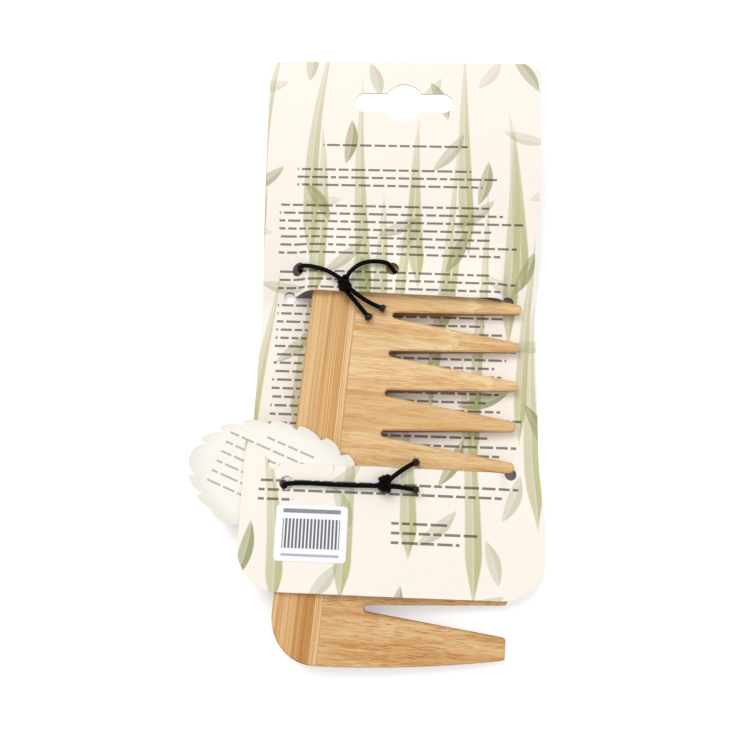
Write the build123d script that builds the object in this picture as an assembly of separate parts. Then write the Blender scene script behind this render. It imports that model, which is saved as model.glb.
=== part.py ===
# A wide tooth bamboo comb on its hang card, lying with the card's printed back upwards.
#
# The comb is woven through two slits of the card: its middle lies in front of the band between the
# slits, and both its ends lie behind the card's flaps. Two elastic ties, each knotted on the card,
# go round the spine and up through a tooth gap, and a leaf-shaped tag is threaded on the lower one.
#
# Frame, in millimetres: +X runs from the spine to the tips of the teeth, +Y along the comb towards
# the card's hang slot and +Z up. The origin is on the flat underside of the band, below the comb's
# middle. The card has its own axes: u across it, v along it, turned by CARD_TURN from X and Y.
import os
from math import cos, pi, radians, sin, sqrt, tan

from build123d import *

os.makedirs("parts", exist_ok=True)

# ---------------------------------------------------------------- comb
TOOTH_COUNT = 13
TOOTH_PITCH = 12.7
COMB_DEPTH = 67.0            # back of the spine to the tips
COMB_THICKNESS = 5.5         # along the spine
TIP_THICKNESS = 1.8
GAP_DEPTH = 40.9             # tips to the bottom of a gap
GAP_ROOT_RADIUS = 1.0
FLANK_ANGLE = 5.5            # of a tooth's side to the tooth's axis
END_FLANK_ANGLE = 4.2        # inner side of the two end teeth
END_OVERHANG = 10.3          # axis of an end tooth to the end of the comb
END_SLOPE_AT_SPINE = 3.0     # the ends slope in towards the tips, and more so at the tips
END_SLOPE_AT_TIP = 11.3
SPINE_CORNER_RADIUS = 13.0
TIP_CORNER_RADIUS = 1.1
END_TIP_CORNER_RADIUS = 0.8
EDGE_BREAK = 0.45            # sanded edges
OUTER_STRIP_WIDTH = 6.8      # the three glued strips of the spine, grain along the comb
MIDDLE_STRIP_WIDTH = 5.2
INNER_STRIP_WIDTH = 2.3
COMB_TILT = 2.0              # the flaps press the tips down

# ---------------------------------------------------------------- card
CARD_WIDTH = 88.9
BOARD = 0.45
CARD_TURN = 3.47             # the comb sits a little askew in its card
CARD_CENTRE = (-4.5, -1.0)   # the middle of the band, in X and Y
BAND_TO_UPPER_SLIT = 26.7
BAND_TO_LOWER_SLIT = 28.4
UPPER_FLAP_REACH = 76.4      # upper slit to the top edge
LOWER_FLAP_REACH = 36.6      # lower slit to the bottom edge
SLIT_HALF_LENGTH = 35.6      # to the centre of its relief holes
RELIEF_HOLE_RADIUS = 1.9
TOP_CORNER_RADIUS = 4.0
BOTTOM_CORNER_RADIUS = 12.7
BEND_ANGLE = 20.5            # of the band's ends, where the card bends up round the comb
BEND_RADIUS = 17.0
UPPER_FLAP_RADIUS = 330.0    # the long bow of the upper flap
LOWER_EDGE_STRAIGHT = 5.0    # the lower flap's right edge climbs straight, then eases off
LOWER_EDGE_EASE = 10.0
ARCH_RUN_AT_SPINE = 8.2      # where the flap rises from its margin onto the comb
ARCH_RUN_AT_TIPS = 3.6
ARCH_SOFTNESS = 1.0          # how gently the flap leaves the comb
LEVEL_SHARE = -0.11          # the lower flap lies level over the tag up to this share of the
TIPS_SHARE = 0.87            # slit's half length, and slopes down to this one
SECTIONS_PER_FLAP = 9        # evenly spaced, so that the flaps don't ripple
TORN_CORNER_HEIGHT = 6.7     # the lower slit is torn out to the left edge, up by this much
SLOT_WIDTH = 31.75
SLOT_BAR_HEIGHT = 6.35
SLOT_EYE_DIAMETER = 12.7
SLOT_TO_TOP_EDGE = 13.9
TIE_HOLE_RADIUS = 2.1
UPPER_TIE_HOLES = (-32.7, -2.1)   # across the card, from its centre line
UPPER_TIE_HOLE_INSET = 8.3        # above the upper slit
LOWER_TIE_HOLES = (-31.4, -2.2)
LOWER_TIE_HOLE_INSET = 5.7

# ---------------------------------------------------------------- ties, tag and label
TIE_DIAMETER = 1.4
CORD_SIDES = 10
TIE_TIP_DIAMETER = 1.9       # the melted end of a tail
TIE_TIP_LENGTH = 1.2
UPPER_KNOT_SHARE = 0.525     # the upper knot's place between its two holes
UPPER_KNOT_DROP = 6.1        # and below the left one
KNOT_RING_RADIUS = 1.35
KNOT_WRAPS = 4
KNOT_LEAN = 20.0             # of the upper knot
TAG_THICKNESS = 0.35
TAG_HALF_LENGTH = 27.5
TAG_HALF_WIDTH = 17.4
TAG_CENTRE = (-37.0, -36.3)
TAG_TURN = -9.5
TAG_SCALLOPS = 9             # on each side
TAG_SCALLOP_DEPTH = 0.085    # of a notch, as a share of the oval
TAG_BULGE_SHARE = 0.2        # how far a saw tooth's back falls short of the oval at its middle
TOOTH_BACK_SHARE = 0.93      # of a saw tooth's step that its back takes
TAG_EYELET_RADIUS = 1.5
LABEL_WIDTH = 21.0
LABEL_HEIGHT = 16.0
LABEL_THICKNESS = 0.1
LABEL_CORNER_RADIUS = 1.2
LABEL_CENTRE = (-23.2, -48.4)     # in the card's u and v

# ---------------------------------------------------------------- clearances
AIR = 0.3                    # between pieces of different bodies, and round the ties
FLAP_AIR = 1.6               # between the comb and the upper flap, where the tie runs across
LABEL_AIR = 0.05

# ---------------------------------------------------------------- worked out from the above
BACK_X = -COMB_DEPTH / 2
TIP_X = COMB_DEPTH / 2
SPINE_WIDTH = OUTER_STRIP_WIDTH + MIDDLE_STRIP_WIDTH + INNER_STRIP_WIDTH
SEAM_X = BACK_X + SPINE_WIDTH
ROOT_X = TIP_X - GAP_DEPTH
END_TOOTH_Y = (TOOTH_COUNT - 1) / 2 * TOOTH_PITCH
COMB_HALF_LENGTH = END_TOOTH_Y + END_OVERHANG
COMB_BACK_Z = TIE_DIAMETER + AIR
COMB_MID_Z = COMB_BACK_Z + COMB_THICKNESS / 2
UPPER_SLIT_V = BAND_TO_UPPER_SLIT
LOWER_SLIT_V = -BAND_TO_LOWER_SLIT
TOP_EDGE_V = UPPER_SLIT_V + UPPER_FLAP_REACH
BOTTOM_EDGE_V = LOWER_SLIT_V - LOWER_FLAP_REACH
SLOT_V = TOP_EDGE_V - SLOT_TO_TOP_EDGE
SLIT_Z = BEND_RADIUS * (1 - cos(radians(BEND_ANGLE)))
EDGE_SLOPE = tan(radians(BEND_ANGLE))
ABOVE_ALL = 60.0             # height of the tools that cut the card


def at_height(points, height):
    return [(x, y, height) for x, y in points]


# ================================================================ comb
def comb_plate_outline():
    """The comb's outline without its gaps."""
    corner_y = -(COMB_HALF_LENGTH - SPINE_CORNER_RADIUS)
    corner = JernArc((BACK_X, corner_y), (0, -1), SPINE_CORNER_RADIUS, 90 + END_SLOPE_AT_SPINE)
    run = TIP_X - (corner @ 1).X
    end_radius = run / (sin(radians(END_SLOPE_AT_TIP)) - sin(radians(END_SLOPE_AT_SPINE)))
    end = JernArc(corner @ 1, corner % 1, end_radius, END_SLOPE_AT_TIP - END_SLOPE_AT_SPINE)
    tip_y = (end @ 1).Y
    spine_back = Line((BACK_X, -corner_y), (BACK_X, corner_y))
    tips = Line((TIP_X, tip_y), (TIP_X, -tip_y))
    lower_end = [corner, end]
    upper_end = [mirror(edge, about=Plane.XZ) for edge in lower_end]
    return make_face([spine_back, tips] + lower_end + upper_end)


def gap_outline(gap_y, upper_angle, lower_angle):
    """A round-bottomed gap between two teeth that widens towards the tips."""
    centre_x = ROOT_X + GAP_ROOT_RADIUS
    past_tips = TIP_X + 2.0

    def flank(angle, side):
        slope = radians(angle)
        start_x = centre_x - GAP_ROOT_RADIUS * sin(slope)
        start_y = GAP_ROOT_RADIUS * cos(slope)
        end_y = start_y + (past_tips - start_x) * tan(slope)
        return (start_x, gap_y + side * start_y), (past_tips, gap_y + side * end_y)

    top_start, top_end = flank(upper_angle, 1)
    low_start, low_end = flank(lower_angle, -1)
    wedge = make_face(Polyline(top_start, top_end, low_end, low_start, close=True))
    return wedge + Pos(centre_x, gap_y) * Circle(GAP_ROOT_RADIUS)


def comb_outline():
    outline = comb_plate_outline()
    for index in range(TOOTH_COUNT - 1):
        gap_y = END_TOOTH_Y - (index + 0.5) * TOOTH_PITCH
        upper = END_FLANK_ANGLE if index == 0 else FLANK_ANGLE
        lower = END_FLANK_ANGLE if index == TOOTH_COUNT - 2 else FLANK_ANGLE
        outline -= gap_outline(gap_y, upper, lower)
    tips = outline.vertices().filter_by(lambda v: abs(v.X - TIP_X) < 0.01)
    inner_tips = tips.filter_by(lambda v: abs(v.Y) < END_TOOTH_Y - TOOTH_PITCH / 2)
    outline = fillet(inner_tips, TIP_CORNER_RADIUS)
    tips = outline.vertices().filter_by(lambda v: abs(v.X - TIP_X) < 0.01)
    end_tips = tips.filter_by(lambda v: abs(v.Y) > END_TOOTH_Y - TOOTH_PITCH / 2)
    return fillet(end_tips, END_TIP_CORNER_RADIUS)


def comb_side_profile():
    """The comb seen along its length: a flat spine, and teeth that taper from the seam."""
    beyond = 2.0
    taper = (COMB_THICKNESS - TIP_THICKNESS) / 2 / (TIP_X - SEAM_X)
    upper = Polyline(
        (BACK_X - beyond, COMB_THICKNESS / 2),
        (SEAM_X, COMB_THICKNESS / 2),
        (TIP_X + beyond, TIP_THICKNESS / 2 - taper * beyond),
    )
    lower = mirror(upper, about=Plane.XZ)
    back = Line(upper @ 0, lower @ 0)
    front = Line(upper @ 1, lower @ 1)
    return Plane.XZ * make_face([upper, lower, back, front])


def comb_body():
    """The whole comb in one piece, level, with its middle plane at z = 0."""
    plate = extrude(comb_outline(), amount=COMB_THICKNESS, both=True)
    wedge = extrude(comb_side_profile(), amount=COMB_HALF_LENGTH + 5, both=True)
    body = plate & wedge

    def is_sanded(edge):
        middle = edge @ 0.5
        is_crease = abs(middle.X - SEAM_X) < EDGE_BREAK and edge.length > TOOTH_PITCH * 4
        return abs(middle.Z) > TIP_THICKNESS / 4 and not is_crease

    return chamfer(body.edges().filter_by(is_sanded), EDGE_BREAK)


def place_comb(shape):
    pivot = Pos(SEAM_X, 0, COMB_MID_Z)
    return pivot * Rot(0, COMB_TILT, 0) * Pos(-SEAM_X, 0, 0) * shape


def slab(low_x, high_x, low_y, high_y):
    """A block that cuts one strip out of the comb."""
    width = high_x - low_x
    length = high_y - low_y
    middle = Pos((low_x + high_x) / 2, (low_y + high_y) / 2, 0)
    return middle * Box(width, length, COMB_THICKNESS * 2)


def comb_strips():
    """The glued strips: three along the spine, and one across for each tooth."""
    body = comb_body()
    end_y = COMB_HALF_LENGTH + 5
    outer_x = BACK_X + OUTER_STRIP_WIDTH
    middle_x = outer_x + MIDDLE_STRIP_WIDTH
    strips = {
        "spine_outer_strip": body & slab(BACK_X - 5, outer_x, -end_y, end_y),
        "spine_middle_strip": body & slab(outer_x, middle_x, -end_y, end_y),
        "spine_inner_strip": body & slab(middle_x, SEAM_X, -end_y, end_y),
    }
    for index in range(TOOTH_COUNT):
        axis_y = END_TOOTH_Y - index * TOOTH_PITCH
        high_y = end_y if index == 0 else axis_y + TOOTH_PITCH / 2
        low_y = -end_y if index == TOOTH_COUNT - 1 else axis_y - TOOTH_PITCH / 2
        strips[f"tooth_strip_{index + 1:02d}"] = body & slab(SEAM_X, TIP_X + 5, low_y, high_y)
    return {name: place_comb(strip) for name, strip in strips.items()}


def comb_top_z(x):
    """Height of the comb's upper face at x."""
    taper = (COMB_THICKNESS - TIP_THICKNESS) / 2 / (TIP_X - SEAM_X)
    half = COMB_THICKNESS / 2 - taper * max(x - SEAM_X, 0)
    return COMB_MID_Z + half - tan(radians(COMB_TILT)) * (x - SEAM_X)


# ================================================================ card
def card_to_part(shape):
    return Pos(CARD_CENTRE[0], CARD_CENTRE[1], 0) * Rot(0, 0, CARD_TURN) * shape


def part_x(u, v):
    """X of a point of the card."""
    turn = radians(CARD_TURN)
    return CARD_CENTRE[0] + u * cos(turn) - v * sin(turn)


def ease(share):
    """0 to 1 with level ends."""
    share = min(max(share, 0), 1)
    return share * share * (3 - 2 * share)


def upper_edge_z(reach):
    """Height of the upper flap's margins, this far above the slit: one long arc."""
    start = UPPER_FLAP_RADIUS * sin(radians(BEND_ANGLE))
    rise = sqrt(UPPER_FLAP_RADIUS**2 - (start - reach) ** 2)
    return SLIT_Z + rise - UPPER_FLAP_RADIUS * cos(radians(BEND_ANGLE))


def lower_edge_z(reach):
    """Height of the lower flap's right margin, this far below the slit."""
    straight = min(reach, LOWER_EDGE_STRAIGHT)
    eased = min(max(reach - LOWER_EDGE_STRAIGHT, 0), LOWER_EDGE_EASE)
    return SLIT_Z + EDGE_SLOPE * (straight + eased - eased**2 / (2 * LOWER_EDGE_EASE))


TAG_Z = comb_top_z(BACK_X) + AIR
LOWER_FLAP_Z = TAG_Z + TAG_THICKNESS + AIR
LEVEL_U = LEVEL_SHARE * SLIT_HALF_LENGTH
TIPS_U = TIPS_SHARE * SLIT_HALF_LENGTH


def upper_flap_z(u, reach):
    """Underside of the upper flap: its margins are plain, and the comb lifts its middle."""
    edge = upper_edge_z(reach)
    rest = comb_top_z(part_x(u, UPPER_SLIT_V + reach)) + FLAP_AIR
    over = rest - edge
    lift = (over + sqrt(over**2 + ARCH_SOFTNESS**2)) / 2
    inside = SLIT_HALF_LENGTH - abs(u)
    run = ARCH_RUN_AT_SPINE if u < 0 else ARCH_RUN_AT_TIPS
    return edge + ease(inside / run) * lift


def lower_flap_z(u, reach):
    """Underside of the lower flap: level over the spine and the tag, then down to the tips."""
    tips_z = lower_edge_z(LOWER_EDGE_STRAIGHT + LOWER_EDGE_EASE)
    if u <= LEVEL_U:
        return LOWER_FLAP_Z
    if u >= SLIT_HALF_LENGTH:
        return lower_edge_z(reach)
    share = (u - LEVEL_U) / (TIPS_U - LEVEL_U)
    slope_z = LOWER_FLAP_Z + (tips_z - LOWER_FLAP_Z) * min(share, 1)
    inside = (u - TIPS_U) / (SLIT_HALF_LENGTH - TIPS_U)
    return slope_z + (lower_edge_z(reach) - slope_z) * ease(inside)


def flap_section(v, heights, left_z, right_z):
    """A cut across a flap at v: flat margins and a curved middle, one board thick."""
    half = CARD_WIDTH / 2
    points = [(u, v, z) for u, z in heights]
    lower = [
        Line((-half, v, left_z), points[0]),
        Spline(points),
        Line(points[-1], (half, v, right_z)),
    ]
    upper = [Pos(0, 0, BOARD) * edge for edge in lower]
    left = Line((-half, v, left_z), (-half, v, left_z + BOARD))
    right = Line((half, v, right_z), (half, v, right_z + BOARD))
    return make_face(lower + upper + [left, right])


def between(low, high, parts):
    """Evenly spaced values from low to high, both included."""
    return [low + (high - low) * index / parts for index in range(parts + 1)]


def upper_flap():
    spine_u = -SLIT_HALF_LENGTH + ARCH_RUN_AT_SPINE
    tips_u = SLIT_HALF_LENGTH - ARCH_RUN_AT_TIPS
    spans = between(-SLIT_HALF_LENGTH, spine_u, 4)
    spans += between(spine_u, tips_u, 8)[1:-1]
    spans += between(tips_u, SLIT_HALF_LENGTH, 3)
    sections = []
    for index in range(SECTIONS_PER_FLAP + 1):
        reach = (UPPER_FLAP_REACH + 1) * index / SECTIONS_PER_FLAP
        edge = upper_edge_z(reach)
        heights = [(u, upper_flap_z(u, reach)) for u in spans]
        sections.append(flap_section(UPPER_SLIT_V + reach, heights, edge, edge))
    return loft(sections)


def lower_flap():
    spans = between(-SLIT_HALF_LENGTH, LEVEL_U, 4)
    spans += between(LEVEL_U, TIPS_U, 5)[1:-1]
    spans += between(TIPS_U, SLIT_HALF_LENGTH, 3)
    sections = []
    for index in range(SECTIONS_PER_FLAP + 1):
        reach = (LOWER_FLAP_REACH + 1) * index / SECTIONS_PER_FLAP
        heights = [(u, lower_flap_z(u, reach)) for u in spans]
        right_z = lower_edge_z(reach)
        sections.append(flap_section(LOWER_SLIT_V - reach, heights, LOWER_FLAP_Z, right_z))
    return loft(sections)


def torn_corner(low_z, height):
    """The triangle beside the lower slit that tore off the band and stays on the lower flap."""
    half = CARD_WIDTH / 2
    points = [
        (-SLIT_HALF_LENGTH, LOWER_SLIT_V),
        (-half, LOWER_SLIT_V),
        (-half, LOWER_SLIT_V + TORN_CORNER_HEIGHT),
    ]
    face = make_face(Polyline(at_height(points, low_z), close=True))
    return extrude(face, amount=height, dir=(0, 0, 1))


def band():
    """The strip between the slits: flat, with both ends bent up."""
    bend = radians(BEND_ANGLE)
    low_arc = JernArc(
        (LOWER_SLIT_V, SLIT_Z), (cos(bend), -sin(bend)), BEND_RADIUS, BEND_ANGLE
    )
    flat = Line(low_arc @ 1, (UPPER_SLIT_V - BEND_RADIUS * sin(bend), 0))
    high_arc = JernArc(flat @ 1, (1, 0), BEND_RADIUS, BEND_ANGLE)
    under = [low_arc, flat, high_arc]
    over = [Pos(0, BOARD) * edge for edge in under]
    ends = [Line(low_arc @ 0, over[0] @ 0), Line(high_arc @ 1, over[2] @ 1)]
    section = Plane.YZ * make_face(under + over + ends)
    return extrude(section, amount=CARD_WIDTH / 2, both=True) - torn_corner(-1, BOARD + 4)


def card_outline():
    """The card's outline, as a tall prism."""
    height = TOP_EDGE_V - BOTTOM_EDGE_V
    sheet = Pos(0, (TOP_EDGE_V + BOTTOM_EDGE_V) / 2) * Rectangle(CARD_WIDTH, height)
    top = sheet.vertices().filter_by(lambda v: v.Y > 0)
    sheet = fillet(top, TOP_CORNER_RADIUS)
    bottom = sheet.vertices().filter_by(lambda v: v.Y < 0)
    sheet = fillet(bottom, BOTTOM_CORNER_RADIUS)
    return Pos(0, 0, -1) * extrude(sheet, amount=ABOVE_ALL)


def hang_slot():
    bar = SlotOverall(SLOT_WIDTH, SLOT_BAR_HEIGHT) + Circle(SLOT_EYE_DIAMETER / 2)
    return Pos(0, SLOT_V, -1) * extrude(bar, amount=ABOVE_ALL)


def tie_hole_places():
    upper_v = UPPER_SLIT_V + UPPER_TIE_HOLE_INSET
    lower_v = LOWER_SLIT_V - LOWER_TIE_HOLE_INSET
    return [(u, upper_v) for u in UPPER_TIE_HOLES] + [(u, lower_v) for u in LOWER_TIE_HOLES]


def round_hole(place, radius):
    return Pos(place[0], place[1], -1) * extrude(Circle(radius), amount=ABOVE_ALL)


def hang_card():
    card = band() + upper_flap() + lower_flap() + torn_corner(LOWER_FLAP_Z, BOARD)
    card &= card_outline()
    card -= hang_slot()
    for place in tie_hole_places():
        card -= round_hole(place, TIE_HOLE_RADIUS)
    for slit_v in (UPPER_SLIT_V, LOWER_SLIT_V):
        for side in (-1, 1):
            card -= round_hole((side * SLIT_HALF_LENGTH, slit_v), RELIEF_HOLE_RADIUS)
    return card_to_part(card)


def price_label():
    sheet = RectangleRounded(LABEL_WIDTH, LABEL_HEIGHT, LABEL_CORNER_RADIUS)
    label_z = LOWER_FLAP_Z + BOARD + LABEL_AIR
    label = Pos(LABEL_CENTRE[0], LABEL_CENTRE[1], label_z) * extrude(sheet, LABEL_THICKNESS)
    return card_to_part(label)


# ================================================================ ties
def corner_radii(points, tight):
    """As round as the runs beside each corner allow, or as tight says, in cord diameters."""
    radii = []
    for index in range(1, len(points) - 1):
        before = Vector(*points[index]) - Vector(*points[index - 1])
        after = Vector(*points[index + 1]) - Vector(*points[index])
        half_turn = radians(before.get_angle(after)) / 2
        widest = 0.45 * min(before.length, after.length) / tan(half_turn)
        wanted = tight[index] * TIE_DIAMETER if index in tight else widest
        radii.append(min(widest, wanted))
    return radii


def cord(name, points, tight=None):
    """A cord along straight runs joined by arcs, its round section drawn with a few flats."""
    radii = corner_radii(points, tight or {})
    path = FilletPolyline(*points, radius=radii)
    outline = RegularPolygon(TIE_DIAMETER / 2, CORD_SIDES)
    tube = sweep(Plane(origin=path @ 0, z_dir=path % 0) * outline, path=path)
    expected = outline.area * path.length
    print(name, "radii", [round(r, 1) for r in radii], "length", round(path.length, 1),
          "volume", round(tube.volume / expected, 3), "of its section times its length")
    return tube


def card_place(u, v):
    """X and Y of a point of the card."""
    turn = radians(CARD_TURN)
    return part_x(u, v), CARD_CENTRE[1] + u * sin(turn) + v * cos(turn)


UNDER_COMB_Z = COMB_BACK_Z - AIR / 2 - TIE_DIAMETER / 2
OVER_UPPER_FLAP_Z = comb_top_z(BACK_X) + FLAP_AIR + BOARD + TIE_DIAMETER / 2
OVER_LOWER_FLAP_Z = LOWER_FLAP_Z + BOARD + TIE_DIAMETER / 2
ROOT_CORD_X = ROOT_X + GAP_ROOT_RADIUS
UPPER_GAP_Y = TOOTH_PITCH * 2.5
LOWER_GAP_Y = -TOOTH_PITCH * 2.5
UPPER_LEFT_HOLE, UPPER_RIGHT_HOLE, LOWER_LEFT_HOLE, LOWER_RIGHT_HOLE = [
    card_place(u, v) for u, v in tie_hole_places()
]
TAG_PIVOT = (BACK_X - AIR * 2 - TIE_DIAMETER / 2, LOWER_LEFT_HOLE[1] - AIR * 2)


def lay(place, across, along, height, lift):
    """A point of a cord's route beside a place, and above a height, in cord diameters."""
    return (
        place[0] + across * TIE_DIAMETER,
        place[1] + along * TIE_DIAMETER,
        height + lift * TIE_DIAMETER,
    )


def upper_tie():
    """From the knot through the left hole, behind the comb, up a gap, and back to the knot."""
    left, right = UPPER_LEFT_HOLE, UPPER_RIGHT_HOLE
    gap = (ROOT_CORD_X, UPPER_GAP_Y)
    top, root_top = OVER_UPPER_FLAP_Z, comb_top_z(ROOT_CORD_X)
    knot_x = left[0] + (right[0] - left[0]) * UPPER_KNOT_SHARE
    knot_place = (knot_x, left[1] - UPPER_KNOT_DROP)
    points = [
        lay(knot_place, -0.4, 1.0, top, 0.7),
        lay(knot_place, -3.3, 3.1, top, 0.5),
        lay(left, 2.6, -0.1, top, 0.15),
        lay(left, 0.1, 0, top, -1.4),
        lay(left, 0.5, 0, COMB_BACK_Z, 1.0),
        (BACK_X - AIR - TIE_DIAMETER / 2, left[1], UNDER_COMB_Z),
        (*gap, UNDER_COMB_Z),
        lay(gap, 0, 0.1, root_top, 0.4),
        lay(right, -0.1, 0.1, root_top, 1.4),
        lay(right, -1.4, 1.1, top, -0.1),
        lay(right, -6.8, 0.6, top, 0.2),
        lay(knot_place, 0.4, 2.8, top, 0.7),
        lay(knot_place, 0.2, 1.0, top, 0.8),
    ]
    first_tail = [
        lay(knot_place, -0.2, -0.6, top, 0.6),
        lay(knot_place, 2.9, -3.3, top, -0.6),
        lay(knot_place, 6.0, -6.3, comb_top_z(knot_x), 0.7),
    ]
    second_tail = [
        lay(knot_place, 0.9, -0.4, top, 0.8),
        lay(knot_place, 4.7, -3.1, top, -0.6),
        lay(knot_place, 8.9, -4.0, comb_top_z(knot_x), 0.7),
    ]
    tight = {5: 1.8, 6: 1.1, 7: 1.3, 8: 1.3}
    return {
        "upper_tie_loop": cord("upper_tie_loop", points, tight),
        "upper_tie_knot": knot(lay(knot_place, 0, 0, top, 0.9), KNOT_LEAN),
        "upper_tie_left_tail": tail("upper_tie_left_tail", first_tail),
        "upper_tie_right_tail": tail("upper_tie_right_tail", second_tail),
    }


def lower_tie():
    """From the knot to the left hole, through the tag, behind the comb and up a gap."""
    left, right = LOWER_LEFT_HOLE, LOWER_RIGHT_HOLE
    gap = (ROOT_CORD_X, LOWER_GAP_Y)
    top, root_top = OVER_LOWER_FLAP_Z, comb_top_z(ROOT_CORD_X)
    points = [
        lay(right, -1.1, -0.1, top, 0.9),
        lay(right, -7.0, -0.6, top, 0.4),
        lay(left, 3.1, 0.3, top, 0.2),
        lay(TAG_PIVOT, 0, 0, top, 0.15),
        (*TAG_PIVOT, UNDER_COMB_Z),
        (*gap, UNDER_COMB_Z),
        lay(gap, 0, 0, root_top, 0.3),
        lay(right, -0.4, 0.6, root_top, 1.4),
        lay(right, -0.2, 0.4, top, 0.4),
    ]
    upper_end = [
        lay(right, 0.7, 1.1, top, 0.9),
        lay(right, 2.8, 3.6, top, 0.4),
        lay(right, 6.0, 5.7, comb_top_z(right[0]), 1.7),
    ]
    lower_end = [
        lay(right, 0.8, 0, top, 0.9),
        lay(right, 3.8, 0.2, top, 0.3),
        lay(right, 6.4, -0.1, top, -0.2),
    ]
    tight = {3: 1.15, 4: 1.1, 5: 1.1}
    return {
        "lower_tie_loop": cord("lower_tie_loop", points, tight),
        "lower_tie_knot": knot(lay(right, -0.1, 0.4, top, 1.15), 0),
        "lower_tie_upper_tail": tail("lower_tie_upper_tail", upper_end),
        "lower_tie_lower_tail": tail("lower_tie_lower_tail", lower_end),
    }


def knot(centre, lean):
    """A pulled-tight knot, as wraps of the cord side by side round a core."""
    crown = TIE_DIAMETER / 2
    start = -KNOT_WRAPS / 2 * TIE_DIAMETER
    profile = [(0, start)]
    for index in range(KNOT_WRAPS):
        y = start + index * TIE_DIAMETER
        profile.append((KNOT_RING_RADIUS, y))
        profile.append((KNOT_RING_RADIUS + crown, y + TIE_DIAMETER / 4))
        profile.append((KNOT_RING_RADIUS + crown, y + TIE_DIAMETER * 3 / 4))
    profile += [(KNOT_RING_RADIUS, -start), (0, -start)]
    lump = revolve(make_face(Polyline(*profile, close=True)), axis=Axis.Y)
    return Pos(*centre) * Rot(0, 0, lean) * lump


def tail(name, points):
    """A short end of the tie with its melted tip, a flat bead."""
    tube = cord(name, points)
    outline = RegularPolygon(TIE_TIP_DIAMETER / 2, CORD_SIDES)
    bead = extrude(outline, amount=TIE_TIP_LENGTH / 2, both=True)
    rims = bead.edges().filter_by(Axis.Z, reverse=True)
    bead = chamfer(rims, TIE_TIP_LENGTH / 4)
    run = Vector(*points[-1]) - Vector(*points[-2])
    return tube + Plane(origin=points[-1], z_dir=run) * bead


# ================================================================ tag
def on_oval(angle, share):
    """A point of the tag's oval, or a share of the way out to it. Angle 0 is its left end."""
    return (-TAG_HALF_LENGTH * share * cos(angle), TAG_HALF_WIDTH * share * sin(angle))


def leaf_tag():
    """An oval leaf whose saw teeth point towards its left end."""
    step = pi / (TAG_SCALLOPS + 0.5)
    notch = 1 - TAG_SCALLOP_DEPTH
    side = []
    for index in range(TAG_SCALLOPS):
        start = on_oval(index * step, 1)
        middle = on_oval((index + 0.5) * step, 1 - TAG_SCALLOP_DEPTH * TAG_BULGE_SHARE)
        end = on_oval((index + TOOTH_BACK_SHARE) * step, notch)
        side.append(ThreePointArc(start, middle, end))
        side.append(Line(end, on_oval((index + 1) * step, 1)))
    last = on_oval(TAG_SCALLOPS * step, 1)
    base = ThreePointArc(last, on_oval(pi, 1), (last[0], -last[1]))
    other_side = [mirror(edge, about=Plane.XZ) for edge in side]
    leaf = extrude(make_face(side + other_side + [base]), amount=TAG_THICKNESS)
    leaf = Pos(TAG_CENTRE[0], TAG_CENTRE[1], TAG_Z) * Rot(0, 0, TAG_TURN) * leaf
    eyelet = extrude(Circle(TAG_EYELET_RADIUS), amount=ABOVE_ALL)
    return leaf - Pos(TAG_PIVOT[0], TAG_PIVOT[1], 0) * eyelet


# ================================================================ all pieces
pieces = comb_strips()
pieces["hang_card"] = hang_card()
pieces["price_label"] = price_label()
pieces["leaf_tag"] = leaf_tag()
pieces.update(upper_tie())
pieces.update(lower_tie())

for name, shape in pieces.items():
    export_step(shape, f"parts/{name}.step")
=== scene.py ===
"""Looks of a wide tooth bamboo comb on its hang card, laid out as a Blender add-on."""

import math

import bmesh
import bpy
from mathutils import Matrix, Vector


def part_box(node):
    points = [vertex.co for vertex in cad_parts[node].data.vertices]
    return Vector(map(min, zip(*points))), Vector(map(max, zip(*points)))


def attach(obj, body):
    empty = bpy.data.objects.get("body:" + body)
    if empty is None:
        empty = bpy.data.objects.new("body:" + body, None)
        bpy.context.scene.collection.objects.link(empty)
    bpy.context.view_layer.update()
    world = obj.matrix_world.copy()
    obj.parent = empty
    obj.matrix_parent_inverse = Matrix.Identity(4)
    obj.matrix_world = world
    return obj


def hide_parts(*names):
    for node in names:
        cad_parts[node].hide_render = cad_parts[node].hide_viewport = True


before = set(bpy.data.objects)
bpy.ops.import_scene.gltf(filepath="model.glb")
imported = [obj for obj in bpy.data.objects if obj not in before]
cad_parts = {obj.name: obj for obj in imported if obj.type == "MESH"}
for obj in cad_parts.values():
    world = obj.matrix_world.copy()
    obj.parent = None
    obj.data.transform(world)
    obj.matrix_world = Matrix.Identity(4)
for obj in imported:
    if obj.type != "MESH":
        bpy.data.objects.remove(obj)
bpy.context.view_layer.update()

bl_info = {
    "name": "Carded bamboo comb",
    "version": (1, 0, 0),
    "blender": (4, 5, 0),
    "location": "3D View > Sidebar > Carded Comb",
    "description": "Finishes a bamboo comb, its hang card, tag, label and elastic ties",
    "category": "Object",
}

MM = 0.001
CARD_CENTRE = (-4.5 * MM, -1.0 * MM, 0.0)
CARD_TURN = math.radians(3.47)
FACES_UP = 0.3    # print lies where the surface's normal points up by more than this
MIX_SHARE, MIX_FIRST, MIX_SECOND, MIX_RESULT = 0, 6, 7, 2    # the Mix node's colour sockets


# ==== settings
def colour_prop(name, description, red, green, blue):
    """A colour setting; its default is given as it looks, from 0 to 255."""
    return bpy.props.FloatVectorProperty(
        name=name, description=description, subtype="COLOR", size=4, min=0.0, max=1.0,
        default=linear(red, green, blue),
    )


def length_prop(name, description, millimetres):
    """A length setting; its default is given in millimetres."""
    return bpy.props.FloatProperty(
        name=name, description=description, default=millimetres * MM, min=0.0,
        subtype="DISTANCE", unit="LENGTH", precision=5,
    )


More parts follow.
